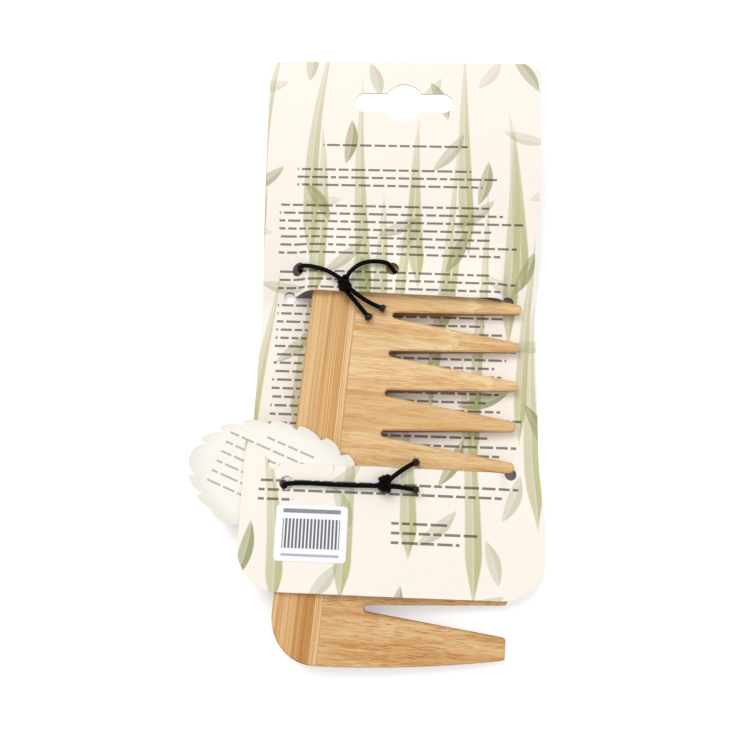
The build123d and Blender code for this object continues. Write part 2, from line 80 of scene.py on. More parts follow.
def share_prop(name, description, value):
    """A setting from 0 to 1."""
    return bpy.props.FloatProperty(
        name=name, description=description, default=value, min=0.0, max=1.0, subtype="FACTOR"
    )


def power_prop(name, description, value):
    """A lamp's power."""
    return bpy.props.FloatProperty(
        name=name, description=description, default=value, min=0.0, unit="POWER"
    )


def linear(red, green, blue):
    """A colour as it looks on a screen, 0 to 255, as Blender's linear values."""

    def channel(value):
        value /= 255
        return value / 12.92 if value <= 0.04045 else ((value + 0.055) / 1.055) ** 2.4

    return channel(red), channel(green), channel(blue), 1.0


def mixed(first, second, share):
    """A colour this share of the way from the first to the second."""
    return tuple(a + (b - a) * share for a, b in zip(first, second))


class BambooSettings(bpy.types.PropertyGroup):
    light: colour_prop("Light bamboo", "Colour of the palest fibres", 245, 216, 168)
    dark: colour_prop("Dark bamboo", "Colour between the fibres", 204, 150, 84)
    steamed_light: colour_prop("Steamed light", "Palest colour of the dark strip", 218, 168, 104)
    steamed_dark: colour_prop("Steamed dark", "Darkest colour of the dark strip", 174, 112, 50)
    fleck: colour_prop("Fibre flecks", "Colour of the short cut fibre ends", 184, 110, 40)
    # colour of the sawn walls: partly burnt wood, partly painted shade
    wall: colour_prop("Sawn walls", "Colour of the sawn sides of the gaps", 128, 62, 24)
    polish: share_prop("Polish", "How glossy the oiled wood is", 0.35)


class CardSettings(bpy.types.PropertyGroup):
    paper: colour_prop("Card", "Colour of the unprinted card", 251, 243, 232)
    leaf: colour_prop("Leaves", "Colour of the printed leaves", 152, 156, 100)
    grass: colour_prop("Grass", "Colour of the fainter grass behind", 190, 188, 136)
    ink: colour_prop("Rules", "Colour of the printed rules", 62, 44, 34)
    leaf_spacing: length_prop("Leaf spacing", "Distance between printed leaves", 23.0)
    rule_spacing: length_prop("Rule spacing", "Distance between printed rules", 2.8)
    rule_height: length_prop("Rule height", "Height of a printed rule", 0.8)


class PaperSettings(bpy.types.PropertyGroup):
    tag: colour_prop("Tag", "Colour of the leaf tag", 249, 245, 236)
    tag_ink: colour_prop("Tag rules", "Colour of the rules on the tag", 128, 116, 98)
    label: colour_prop("Label", "Colour of the stuck-on label", 250, 249, 253)
    label_ink: colour_prop("Label bars", "Colour of the bars on the label", 34, 30, 42)


class TieSettings(bpy.types.PropertyGroup):
    colour: colour_prop("Elastic", "Colour of the braided elastic", 8, 7, 8)
    diameter: length_prop("Diameter", "Thickness of the elastic", 1.4)
    tip_diameter: length_prop("Tip diameter", "Thickness of a melted tip", 2.3)
    knot_radius: length_prop("Knot radius", "Radius of the knot's wraps", 1.35)
    braid_pitch: length_prop("Braid pitch", "Length of one plait along the elastic", 0.9)


class StageSettings(bpy.types.PropertyGroup):
    floor: colour_prop("Floor", "Colour of the floor", 243, 243, 243)
    lens: bpy.props.FloatProperty(
        name="Lens", description="Focal length", default=34.97, min=1.0, unit="CAMERA"
    )
    key: power_prop("Key lamp", "Power of the large lamp", 5.0)
    fill: power_prop("Fill lamp", "Power of the small lamp", 1.0)
    sky: share_prop("Sky", "Strength of the even light from all round", 0.6)


# ==== node helpers
def add_node(tree, kind, values=None, **settings):
    """A node with its settings, and its sockets given values or linked to other sockets."""
    node = tree.nodes.new(kind)
    for name, value in settings.items():
        setattr(node, name, value)
    for name, value in (values or {}).items():
        socket = node.inputs[name]
        if isinstance(value, bpy.types.NodeSocket):
            tree.links.new(value, socket)
        else:
            socket.default_value = value
    return node


def calc(tree, operation, *values, clamp=False):
    """The result of a Math node."""
    node = add_node(tree, "ShaderNodeMath", dict(enumerate(values)), operation=operation)
    node.use_clamp = clamp
    return node.outputs[0]


def times(tree, first, *others):
    for other in others:
        first = calc(tree, "MULTIPLY", first, other)
    return first


def plus(tree, first, *others):
    for other in others:
        first = calc(tree, "ADD", first, other)
    return first


def minus(tree, first, second):
    return calc(tree, "SUBTRACT", first, second)


def unsigned(tree, value):
    return calc(tree, "ABSOLUTE", value)


def apart(tree, first, second):
    """How far apart two values are."""
    return unsigned(tree, minus(tree, first, second))


def vector_calc(tree, operation, *values, output="Vector"):
    """The result of a Vector Math node."""
    values = dict(enumerate(values))
    return add_node(tree, "ShaderNodeVectorMath", values, operation=operation).outputs[output]


def stretched(tree, vector, scale):
    return vector_calc(tree, "MULTIPLY", vector, scale)


def axes(tree, vector):
    """The X, Y and Z of a vector."""
    return add_node(tree, "ShaderNodeSeparateXYZ", {0: vector}).outputs


def channels(tree, colour):
    """The three numbers of a colour; of a random colour, three random numbers."""
    return add_node(tree, "ShaderNodeSeparateColor", {0: colour}).outputs


def blend(tree, share, first, second):
    """The first colour where share is 0, and the second where it is 1."""
    values = {MIX_SHARE: share, MIX_FIRST: first, MIX_SECOND: second}
    return add_node(tree, "ShaderNodeMix", values, data_type="RGBA").outputs[MIX_RESULT]


def ramp(tree, value, low, high, to_low=0.0, to_high=1.0, smooth=True):
    """Value from low to high, spread over to_low to to_high, and held beyond them."""
    node = add_node(
        tree, "ShaderNodeMapRange",
        {"Value": value, "From Min": low, "From Max": high, "To Min": to_low, "To Max": to_high},
        interpolation_type="SMOOTHSTEP" if smooth else "LINEAR",
    )
    return node.outputs["Result"]


def noise(tree, vector, scale, detail=2.0, roughness=0.5):
    """Cloudy noise from 0 to 1, whose scale is one number or one for each axis."""
    if isinstance(scale, tuple):
        vector, scale = stretched(tree, vector, scale), 1.0
    values = {"Vector": vector, "Scale": scale, "Detail": detail, "Roughness": roughness}
    return add_node(tree, "ShaderNodeTexNoise", values).outputs["Fac"]


def white_noise(tree, number):
    """A random colour and value for each whole number."""
    node = add_node(tree, "ShaderNodeTexWhiteNoise", {"W": number}, noise_dimensions="1D")
    return node.outputs


def bump(tree, height, strength, distance):
    values = {"Height": height, "Strength": strength, "Distance": distance}
    return add_node(tree, "ShaderNodeBump", values).outputs["Normal"]


def new_group(name, inputs, outputs):
    """An empty shader node group. A socket is given by its kind, or by a number's default."""
    group = bpy.data.node_groups.new(name, "ShaderNodeTree")
    for in_out, sockets in (("INPUT", inputs), ("OUTPUT", outputs)):
        for socket_name, kind in sockets.items():
            is_number = isinstance(kind, float)
            socket = group.interface.new_socket(
                name=socket_name, in_out=in_out,
                socket_type="NodeSocket" + ("Float" if is_number else kind),
            )
            if is_number:
                socket.default_value = kind
    start = group.nodes.new("NodeGroupInput")
    end = group.nodes.new("NodeGroupOutput")
    return group, start.outputs, end.inputs


def put_out(group, out, results):
    """Links each result to the group's output of that name."""
    for name, socket in results.items():
        group.links.new(socket, out[name])


def group_node(tree, build, values):
    """A node of the group that bears the building function's name, and is built only once."""
    group = bpy.data.node_groups.get(build.__name__) or build()
    return add_node(tree, "ShaderNodeGroup", values, node_tree=group).outputs


def empty_material(name):
    material = bpy.data.materials.new(name)
    material.use_nodes = True
    tree = material.node_tree
    tree.nodes.clear()
    return material, tree


def finish_shader(tree, shader):
    output = tree.nodes.new("ShaderNodeOutputMaterial")
    tree.links.new(shader.outputs[0], output.inputs["Surface"])


def surface(tree, colour, roughness, specular, normal):
    """The plain surface that ends each material of the object."""
    values = {"Base Color": colour, "Roughness": roughness, "Normal": normal}
    shader = add_node(tree, "ShaderNodeBsdfPrincipled", values)
    shader.inputs["Specular IOR Level"].default_value = specular
    finish_shader(tree, shader)


def dress(name, material):
    """Gives a CAD node its one material."""
    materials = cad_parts[name].data.materials
    materials.clear()
    materials.append(material)


# ==== bamboo
# each layer of fibres: its waves to a metre along the grain and across it, detail and roughness
FIBRE_LAYERS = {
    "bands": (7, 300, 1.0, 0.5),
    "streaks": (11, 1500, 2.0, 0.6),
    "lines": (9, 2700, 1.0, 0.5),
    "fibres": (38, 5200, 2.0, 0.6),
    "ends": (60, 4000, 0.0, 0.5),
}
KNUCKLE_COLOUR = linear(248, 222, 170)
KNUCKLE_BOW = 110.0    # how strongly a knuckle curves across its strip
KNUCKLE_LINE = 2.1 * MM    # from the middle of a knuckle to its dark line
# how deep the tone of each tooth's strip is, from the top tooth to the bottom one
TOOTH_TONES = (0.2, 0.35, 0.1, 0.3, 0.2, 0.08, 0.0, 0.38, 0.14, 0.3, 0.4, 0.46, 0.38)
KNUCKLES = {5: 0.0185, 6: 0.0125, 7: 0.0245}    # strips with a knuckle, and its place in X
FIRST_HONEY_STRIP = 11    # the strips from here on are darker, with more flecks
GLUE_LINES = (-26.7, -21.5, -19.2)    # where the spine's strips meet, in millimetres
STEAMED_SPAN = (-0.052, -0.03)    # the middle strip is darker below this stretch
SPINE_LOOK = {"Flecks": 0.0, "Bands": 0.35, "Streaks": 0.5, "Lines": 0.75, "Knuckle": 0.0}
SPINE_STRIPS = (("outer", 0.3, 0.3), ("middle", 0.46, 0.5), ("inner", 0.1, 0.7))    # tone, shift
TOOTH_FINENESS = (1.0, 1.3, 1.0)
SPINE_FINENESS = (1.5, 1.0, 1.0)


def bamboo_fibres():
    """Fibres along X, in layers from broad bands of tone to fine flecks, and a knuckle."""
    tree, given, out = new_group(
        "bamboo_fibres",
        {
            "Place": "Vector", "Light": "Color", "Dark": "Color", "Fleck": "Color",
            "Flecks": 0.5, "Bands": 0.5, "Streaks": 0.4, "Lines": 0.3,
            "Knuckle Place": "Vector", "Knuckle": 0.0,
        },
        {"Color": "Color", "Gloss Loss": 0.0, "Height": 0.0},
    )
    place = given["Place"]
    wander = noise(tree, place, (45, 130, 130), 1.0)
    sway = times(tree, minus(tree, wander, 0.5), 0.0012)
    sway = add_node(tree, "ShaderNodeCombineXYZ", {"Y": sway}).outputs[0]
    grain = vector_calc(tree, "ADD", place, sway)
    layers = {
        name: noise(tree, grain, (along, across, across), detail, roughness)
        for name, (along, across, detail, roughness) in FIBRE_LAYERS.items()
    }
    streak_tone = ramp(tree, layers["streaks"], 0.38, 0.68)
    line_tone = times(tree, ramp(tree, layers["lines"], 0.52, 0.64), given["Lines"])
    fibre_tone = ramp(tree, layers["fibres"], 0.35, 0.7)
    tone = plus(
        tree,
        times(tree, ramp(tree, layers["bands"], 0.36, 0.66), given["Bands"]),
        times(tree, streak_tone, given["Streaks"]),
        line_tone,
    )
    tone = calc(tree, "ADD", tone, times(tree, fibre_tone, 0.24), clamp=True)
    colour = blend(tree, tone, given["Light"], given["Dark"])
    patches = noise(tree, place, (45, 120, 120), 1.0)
    flecks = times(
        tree, ramp(tree, layers["ends"], 0.64, 0.69), ramp(tree, patches, 0.42, 0.58),
        given["Flecks"],
    )
    colour = blend(tree, flecks, colour, given["Fleck"])
    # a knuckle: pale feathery strokes across the fibres, beside a thin dark line
    off = axes(tree, vector_calc(tree, "SUBTRACT", place, given["Knuckle Place"]))
    ragged = noise(tree, place, (260, 1500, 1500), 3.0, 0.75)
    ragged = times(tree, minus(tree, ragged, 0.5), 0.016)
    along = plus(tree, off["X"], ragged, times(tree, off["Y"], off["Y"], KNUCKLE_BOW))
    feather = times(
        tree, ramp(tree, unsigned(tree, along), 0.0, 0.0026, 1.0, 0.0), given["Knuckle"],
        ramp(tree, layers["streaks"], 0.35, 0.6, 0.25, 0.9),
    )
    colour = blend(tree, feather, colour, KNUCKLE_COLOUR)
    line = times(
        tree, ramp(tree, apart(tree, along, KNUCKLE_LINE), 0.0, 0.0005, 0.9, 0.0),
        given["Knuckle"], ramp(tree, layers["fibres"], 0.4, 0.6),
    )
    colour = blend(tree, line, colour, given["Fleck"])
    height = minus(tree, plus(tree, streak_tone, times(tree, fibre_tone, 0.6)), line_tone)
    gloss_loss = times(tree, fibre_tone, 0.12)
    put_out(tree, out, {"Color": colour, "Gloss Loss": gloss_loss, "Height": height})
    return tree


def sawn_walls():
    """How far a surface is a sawn wall, standing up from the comb's faces, which takes the burnt
    colour and painted shade, and its rub marks.
    """
    tree, given, out = new_group(
        "sawn_walls", {"Facing": "Vector", "Place": "Vector"}, {"Wall": 0.0, "Depth": 0.0}
    )
    wall = unsigned(tree, axes(tree, given["Facing"])["Z"])
    wall = ramp(tree, wall, 0.25, 0.8, 1.0, 0.0)
    rub = noise(tree, given["Place"], (500, 500, 2600))
    put_out(tree, out, {"Wall": wall, "Depth": rub})
    return tree


def bamboo_material(
    name, light, dark, turn, shift, fineness, look, knuckle=(0, 0, 0), steamed=False
):
    """Bamboo with its fibres turned from X, and its pattern shifted from strip to strip."""
    options = bpy.context.scene.carded_comb_bamboo
    material, tree = empty_material(name)
    place = tree.nodes.new("ShaderNodeTexCoord").outputs
    own_axes = axes(tree, place["Object"])
    mapping = add_node(
        tree, "ShaderNodeMapping",
        {"Vector": place["Object"], "Rotation": (0, 0, turn), "Location": shift, "Scale": fineness},
    ).outputs[0]
    knuckle = Vector(knuckle) * Vector(fineness)
    knuckle = Matrix.Rotation(turn, 3, "Z") @ knuckle + Vector(shift)
    if steamed:
        share = ramp(tree, own_axes["Y"], *STEAMED_SPAN)
        light = blend(tree, share, options.steamed_light, light)
        dark = blend(tree, share, options.steamed_dark, dark)
    fibres = group_node(
        tree, bamboo_fibres,
        {
            "Place": mapping, "Light": light, "Dark": dark, "Fleck": options.fleck,
            "Knuckle Place": knuckle, **look,
        },
    )
    sawn = group_node(tree, sawn_walls, {"Facing": place["Normal"], "Place": mapping})
    # the sawn walls are darker: partly the burnt wood, partly painted shade in the gaps
    burnt_and_shaded_wall_colour = blend(tree, 0.75, fibres["Color"], options.wall)
    colour = blend(tree, sawn["Wall"], fibres["Color"], burnt_and_shaded_wall_colour)
    for seam in GLUE_LINES:
        line = ramp(tree, apart(tree, own_axes["X"], seam * MM), 0.00006, 0.0002, 0.45, 0.0)
        colour = blend(tree, line, colour, options.fleck)
    rough = plus(
        tree, fibres["Gloss Loss"], 0.72 - options.polish * 0.6, times(tree, sawn["Wall"], 0.15)
    )
    height = plus(tree, fibres["Height"], times(tree, sawn["Depth"], sawn["Wall"]))
    surface(tree, colour, rough, 0.35, bump(tree, height, 0.25, 0.00004))
    return material


class CARDEDCOMB_OT_comb_strips(bpy.types.Operator):
    """Gives the comb's glued strips their bamboo, with the fibres along each strip"""

    bl_idname = "carded_comb.comb_strips"
    bl_label = "Comb Strips"

    def execute(self, context):
        options = context.scene.carded_comb_bamboo
        for number, deeper in enumerate(TOOTH_TONES, 1):
            name = f"tooth_strip_{number:02d}"
            low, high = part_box(name)
            honey = number >= FIRST_HONEY_STRIP
            look = {
                "Flecks": 1.0 if honey else 0.22,
                "Bands": 0.2 + 0.3 * ((number * 3) % 5) / 4,
                "Streaks": 0.2 if honey else 0.36,
                "Lines": 0.5 if honey else 0.28,
                "Knuckle": float(number in KNUCKLES),
            }
            knuckle = (KNUCKLES.get(number, 0), (low[1] + high[1]) / 2, 0)
            tone = mixed(options.light, options.dark, deeper)
            shade = mixed(options.dark, options.steamed_dark, 0.3 if honey else 0.0)
            shift = (0.013 * number, 0.0037 * number, 0.021 * number)
            strip = bamboo_material(
                f"bamboo_{name}", tone, shade, 0.0, shift, TOOTH_FINENESS, look, knuckle
            )
            dress(name, strip)
        for name, deeper, shift in SPINE_STRIPS:
            tone = mixed(options.light, options.dark, deeper)
            strip = bamboo_material(
                f"bamboo_spine_{name}", tone, options.dark, math.radians(90), (shift, 0.1, 0),
                SPINE_FINENESS, SPINE_LOOK, steamed=name == "middle",
            )
            dress(f"spine_{name}_strip", strip)
        return {"FINISHED"}


# ==== print
def scattered_leaves():
    """Lens-shaped leaves, one to a cell and turned at random."""
    tree, given, out = new_group(
        "scattered_leaves",
        {"Place": "Vector", "Spacing": 0.017, "Width": 0.12, "Missing": 0.3, "Turn": 0.0},
        {"Leaf": 0.0, "Tone": 0.0},
    )
    scale = calc(tree, "DIVIDE", 1.0, given["Spacing"])
    scaled = stretched(tree, given["Place"], scale)
    tilted = turned(tree, scaled, given["Turn"])
    cells = add_node(
        tree, "ShaderNodeTexVoronoi", {"Vector": tilted, "Scale": 1.0, "Randomness": 0.22},
        voronoi_dimensions="2D",
    ).outputs
    from_middle = vector_calc(tree, "SUBTRACT", tilted, cells["Position"])
    random = channels(tree, cells["Color"])
    angle = plus(tree, times(tree, random[0], 1.9), 0.6)
    off = axes(tree, turned(tree, from_middle, angle))
    off_rib = plus(tree, off["Y"], times(tree, off["X"], off["X"], 0.3))
    across = unsigned(tree, off_rib)
    length = ramp(tree, random[2], 0.0, 1.0, 0.28, 0.39, smooth=False)
    along = calc(tree, "DIVIDE", off["X"], length)
    taper = minus(tree, 1.0, times(tree, along, along))
    inside = minus(tree, times(tree, given["Width"], taper), across)
    is_there = calc(tree, "GREATER_THAN", random[1], given["Missing"])
    leaf = times(tree, ramp(tree, inside, -0.004, 0.01), is_there)
    ribs = calc(tree, "SINE", times(tree, minus(tree, along, across), 60.0))
    tone = times(
        tree,
        ramp(tree, across, 0.0, 0.012, 0.6, 1.0),
        ramp(tree, off_rib, -0.02, 0.02, 0.72, 1.0),
        ramp(tree, random[2], 0.0, 1.0, 0.5, 1.0),
        ramp(tree, ribs, -1.0, 1.0, 0.92, 1.0),
    )
    put_out(tree, out, {"Leaf": leaf, "Tone": tone})
    return tree


def turned(tree, vector, angle):
    """A vector turned about Z."""
    values = {"Vector": vector, "Angle": angle}
    return add_node(tree, "ShaderNodeVectorRotate", values, rotation_type="Z_AXIS").outputs[0]


def tall_grass():
    """Tall blades side by side, each with its own foot, height and lean."""
    tree, given, out = new_group(
        "tall_grass",
        {
            "Place": "Vector", "Spacing": 0.014, "Width": 0.003, "Foot": 0.0, "Height": 0.08,
            "Seed": 0.0,
        },
        {"Blade": 0.0, "Tone": 0.0},
    )
    place = axes(tree, given["Place"])
    wave = calc(tree, "SINE", plus(tree, times(tree, place["Y"], 34.0), given["Seed"]))
    swayed = plus(tree, place["X"], times(tree, wave, 0.0022))
    columns = plus(tree, calc(tree, "DIVIDE", swayed, given["Spacing"]), given["Seed"])
    random = channels(tree, white_noise(tree, calc(tree, "FLOOR", columns))["Color"])
    foot = plus(tree, given["Foot"], times(tree, random[0], 0.03))
    height = times(tree, given["Height"], ramp(tree, random[1], 0.0, 1.0, 0.5, 1.0))
    up = calc(tree, "DIVIDE", minus(tree, place["Y"], foot), height, clamp=True)
    lean = times(tree, minus(tree, random[2], 0.5), 0.62)
    lean = times(tree, lean, times(tree, up, up))
    aside = minus(tree, minus(tree, calc(tree, "FRACT", columns), 0.5), lean)
    across = unsigned(tree, aside)
    half = calc(tree, "DIVIDE", times(tree, given["Width"], 0.5), given["Spacing"])
    slim = minus(tree, 1.0, calc(tree, "POWER", up, 2.2))
    slim = times(tree, slim, ramp(tree, up, 0.0, 0.22, 0.0, 1.0))
    blade = ramp(tree, minus(tree, times(tree, half, slim), across), -0.006, 0.02)
    tone = times(
        tree,
        ramp(tree, across, 0.0, 0.02, 0.62, 1.0),
        ramp(tree, aside, -0.03, 0.03, 0.75, 1.0),
        ramp(tree, up, 0.0, 1.0, 1.0, 0.55),
    )
    put_out(tree, out, {"Blade": blade, "Tone": tone})
    return tree


def printed_rules():
    """Rows of rules broken at random, with ragged ends, inside a block."""
    tree, given, out = new_group(
        "printed_rules",
        {
            "Place": "Vector", "Spacing": 0.0028, "Height": 0.001, "Left": -0.03,
            "Right": 0.03, "Bottom": 0.0, "Top": 0.02, "Ragged": 0.01, "Run": 0.0046,
            "Break": 0.0009,
        },
        {"Ink": 0.0},
    )
    place = axes(tree, given["Place"])
    rows = minus(tree, place["Y"], given["Bottom"])
    rows = calc(tree, "DIVIDE", rows, given["Spacing"])
    random = white_noise(tree, calc(tree, "FLOOR", rows))["Value"]
    off = times(tree, apart(tree, calc(tree, "FRACT", rows), 0.5), given["Spacing"])
    half = times(tree, given["Height"], 0.5)
    ink = ramp(tree, minus(tree, half, off), -0.00006, 0.00006)
    along = calc(tree, "DIVIDE", place["X"], given["Run"])
    along = plus(tree, along, times(tree, random, 57.0))
    runs = add_node(
        tree, "ShaderNodeTexVoronoi", {"W": along, "Scale": 1.0, "Randomness": 1.0},
        voronoi_dimensions="1D", feature="DISTANCE_TO_EDGE",
    ).outputs["Distance"]
    from_break = times(tree, runs, given["Run"])
    from_break = minus(tree, from_break, times(tree, given["Break"], 0.5))
    ink = times(tree, ink, ramp(tree, from_break, -0.00005, 0.00005))
    end = minus(tree, given["Right"], times(tree, random, given["Ragged"]))
    for value, low, high in (
        (place["X"], given["Left"], end), (place["Y"], given["Bottom"], given["Top"])
    ):
        above = calc(tree, "GREATER_THAN", value, low)
        ink = times(tree, ink, above, calc(tree, "LESS_THAN", value, high))
    put_out(tree, out, {"Ink": ink})
    return tree


def paper_surface():
    """Height of paper's fine tooth and slow waviness, and its faint mottle."""
    tree, given, out = new_group("paper_surface", {"Place": "Vector"}, {"Height": 0.0, "Mottle": 0.0})
    tooth = noise(tree, given["Place"], 2600.0, 3.0, 0.6)
    wave = noise(tree, given["Place"], 38.0, 1.0)
    height = plus(tree, times(tree, tooth, 0.08), wave)
    mottle = noise(tree, given["Place"], 420.0, 3.0)
    put_out(tree, out, {"Height": height, "Mottle": mottle})
    return tree


def sheet_place(tree, centre, turn):
    """Object coordinates in a sheet's own axes, and how far its surface faces up."""
    place = tree.nodes.new("ShaderNodeTexCoord").outputs
    mapping = add_node(
        tree, "ShaderNodeMapping",
        {"Vector": place["Object"], "Location": centre, "Rotation": (0, 0, turn)},
        vector_type="TEXTURE",
    ).outputs[0]
    return mapping, axes(tree, place["Normal"])["Z"]


def on_top(tree, ink, up):
    """Ink only where the surface faces up."""
    return times(tree, ink, calc(tree, "GREATER_THAN", up, FACES_UP))


def rules_ink(tree, place, up, blocks, values):
    """Ink of several blocks of rules, each with its left, right, bottom and top in millimetres."""
    ink = 0.0
    for block in blocks:
        sides = dict(zip(("Left", "Right", "Bottom", "Top"), (side * MM for side in block)))
        rules = group_node(tree, printed_rules, {"Place": place, **values, **sides})
        ink = plus(tree, rules["Ink"], ink)
    return on_top(tree, ink, up)


def paper_finish(tree, paper, colour, roughness, specular, relief):
    """Ends a paper material. Its relief is a strength and a distance."""
    rough = ramp(tree, paper["Mottle"], 0.2, 0.8, *roughness)
    surface(tree, colour, rough, specular, bump(tree, paper["Height"], *relief))


PRINT_BLOCKS = (
    # left, right, bottom and top of each block of rules, in the card's axes in millimetres
    (-26.0, 28.0, 80.0, 82.8),
    (-34.0, 33.0, 65.4, 73.8),
    (-39.5, 39.5, 41.2, 60.8),
    (-39.5, 39.5, 29.0, 37.4),
    (-39.5, 39.5, -24.4, 26.0),
    (-39.5, 39.5, -37.2, -31.6),
    (-39.5, -22.0, -40.0, -37.2),
    (0.0, 27.0, -51.4, -43.0),
)
GRASS_ROWS = (
    # foot, height, spacing and width of each row of blades in millimetres, and its seed
    (-74.0, 96.0, 19.0, 5.4, 0.35),
    (-38.0, 118.0, 14.0, 4.2, 2.6),
    (-6.0, 92.0, 21.0, 5.6, 7.7),
    (12.0, 104.0, 17.0, 5.2, 5.15),
)
LEAF_LAYERS = (
    # how far each layer of leaves is turned and moved, and how strongly it is printed
    (0.35, (0.0, 0.0, 0.0), 0.95),
    (1.2, (0.31, 0.17, 0.0), 0.6),
)


def card_material():
    options = bpy.context.scene.carded_comb_card
    material, tree = empty_material("printed_card")
    flat, up = sheet_place(tree, CARD_CENTRE, CARD_TURN)
    paper = group_node(tree, paper_surface, {"Place": flat})
    part = axes(tree, flat)
    # the print slips a little where the flap is lifted
    slip = ramp(tree, part["Y"], -0.05, 0.1, 0.0, 0.5, smooth=False)
    slip = add_node(tree, "ShaderNodeCombineXYZ", {"Y": times(tree, slip, part["Z"])})
    place = vector_calc(tree, "ADD", flat, slip.outputs[0])
    colour = options.paper
    for foot, height, spacing, width, seed in GRASS_ROWS:
        row = group_node(
            tree, tall_grass,
            {
                "Place": place, "Foot": foot * MM, "Height": height * MM,
                "Spacing": spacing * MM, "Width": width * MM, "Seed": seed,
            },
        )
        blade = times(tree, row["Blade"], row["Tone"])
        colour = blend(tree, blade, colour, options.grass)
    for turn, shift, strength in LEAF_LAYERS:
        leaves = group_node(
            tree, scattered_leaves,
            {
                "Place": vector_calc(tree, "ADD", place, shift), "Turn": turn,
                "Spacing": options.leaf_spacing, "Width": 0.09, "Missing": 0.28,
            },
        )
        leaf = times(tree, leaves["Leaf"], leaves["Tone"], strength)
        colour = blend(tree, leaf, colour, options.leaf)
    values = {"Spacing": options.rule_spacing, "Height": options.rule_height, "Ragged": 0.012}
    ink = rules_ink(tree, place, up, PRINT_BLOCKS, values)
    colour = blend(tree, times(tree, ink, 0.8), colour, options.ink)
    cut_edge = ramp(tree, unsigned(tree, up), 0.15, 0.45, 1.0, 0.0)
    colour = blend(tree, cut_edge, colour, linear(240, 236, 226))
    mottle = ramp(tree, paper["Mottle"], 0.3, 0.7, 0.0, 0.035)
    colour = blend(tree, mottle, colour, linear(214, 202, 180))
    paper_finish(tree, paper, colour, (0.5, 0.6), 0.3, (0.35, 0.0006))
    return material


class CARDEDCOMB_OT_hang_card(bpy.types.Operator):
    """Prints the hang card with pale leaves and plain rules"""

    bl_idname = "carded_comb.hang_card"
    bl_label = "Hang Card"

    def execute(self, context):
        dress("hang_card", card_material())
        return {"FINISHED"}


# ==== label and tag
LABEL_CENTRE = (-23.2, -48.4)    # in the card's axes; this and the label's sizes in millimetres
BAR_PITCH = 1.05
BARS_HALF_WIDTH = 8.35
BARS_HALF_HEIGHT = 4.2
BARS_MIDDLE = -0.1    # above the label's centre
LABEL_RULES = ((6.3, 0.6, 0.85), (-6.2, 0.35, 0.6))    # middle, half height and strength
LABEL_RULE_HALF_WIDTH = 8.4
TAG_CENTRE = (-37.0 * MM, -36.3 * MM, 0.0)
TAG_PRINT_TURN = math.radians(-18)
TAG_HALF_LENGTH = 0.0275
TAG_HALF_WIDTH = 0.0174
TAG_BLOCKS = ((-8.0, 12.0, 8.9, 12.0), (-19.0, 20.0, -9.7, 8.9))    # as the card's blocks


def label_material():
    options = bpy.context.scene.carded_comb_paper
    material, tree = empty_material("stuck_label")
    place, up = sheet_place(tree, CARD_CENTRE, CARD_TURN)
    part = axes(tree, place)
    across = minus(tree, part["X"], LABEL_CENTRE[0] * MM)
    along = minus(tree, part["Y"], LABEL_CENTRE[1] * MM)

    def within(value, middle, half):
        return calc(tree, "LESS_THAN", apart(tree, value, middle * MM), half * MM)

    bars = calc(tree, "FRACT", calc(tree, "DIVIDE", across, BAR_PITCH * MM))
    ink = times(
        tree, ramp(tree, apart(tree, bars, 0.5), 0.17, 0.23),
        within(across, 0.0, BARS_HALF_WIDTH), within(along, BARS_MIDDLE, BARS_HALF_HEIGHT),
    )
    for middle, half_height, strength in LABEL_RULES:
        rule = times(
            tree, within(along, middle, half_height),
            within(across, 0.0, LABEL_RULE_HALF_WIDTH), strength,
        )
        ink = plus(tree, ink, rule)
    ink = times(tree, on_top(tree, ink, up), 0.85)
    colour = blend(tree, ink, options.label, options.label_ink)
    paper = group_node(tree, paper_surface, {"Place": place})
    paper_finish(tree, paper, colour, (0.32, 0.42), 0.45, (0.1, 0.0004))
    return material


def tag_material():
    options = bpy.context.scene.carded_comb_paper
    material, tree = empty_material("leaf_tag_paper")
    place, up = sheet_place(tree, TAG_CENTRE, TAG_PRINT_TURN)
    paper = group_node(tree, paper_surface, {"Place": place})
    values = {"Spacing": 3.1 * MM, "Height": 0.62 * MM, "Ragged": 0.006, "Run": 0.0045}
    ink = times(tree, rules_ink(tree, place, up, TAG_BLOCKS, values), 0.6)
    colour = blend(tree, ink, options.tag, options.tag_ink)
    mottle = ramp(tree, paper["Mottle"], 0.3, 0.7, 0.0, 0.05)
    colour = blend(tree, mottle, colour, linear(205, 205, 190))
    # painted shade: a little darker towards the rim of the oval, standing in for the shade on the
    # tag's curled rim
    oval = stretched(tree, place, (1 / TAG_HALF_LENGTH, 1 / TAG_HALF_WIDTH, 0.0))
    painted_edge_shade = ramp(tree, vector_calc(tree, "LENGTH", oval, output="Value"), 0.76, 1.02, 0.0, 0.36)
    colour = blend(tree, painted_edge_shade, colour, linear(212, 206, 190))
    paper_finish(tree, paper, colour, (0.62, 0.72), 0.25, (0.4, 0.0005))
    return material


class CARDEDCOMB_OT_price_label(bpy.types.Operator):
    """Prints the stuck-on label with plain even bars"""

    bl_idname = "carded_comb.price_label"
    bl_label = "Price Label"

    def execute(self, context):
        dress("price_label", label_material())
        return {"FINISHED"}


class CARDEDCOMB_OT_leaf_tag(bpy.types.Operator):
    """Prints the leaf-shaped tag with plain rules"""

    bl_idname = "carded_comb.leaf_tag"
    bl_label = "Leaf Tag"

    def execute(self, context):
        dress("leaf_tag", tag_material())
        return {"FINISHED"}


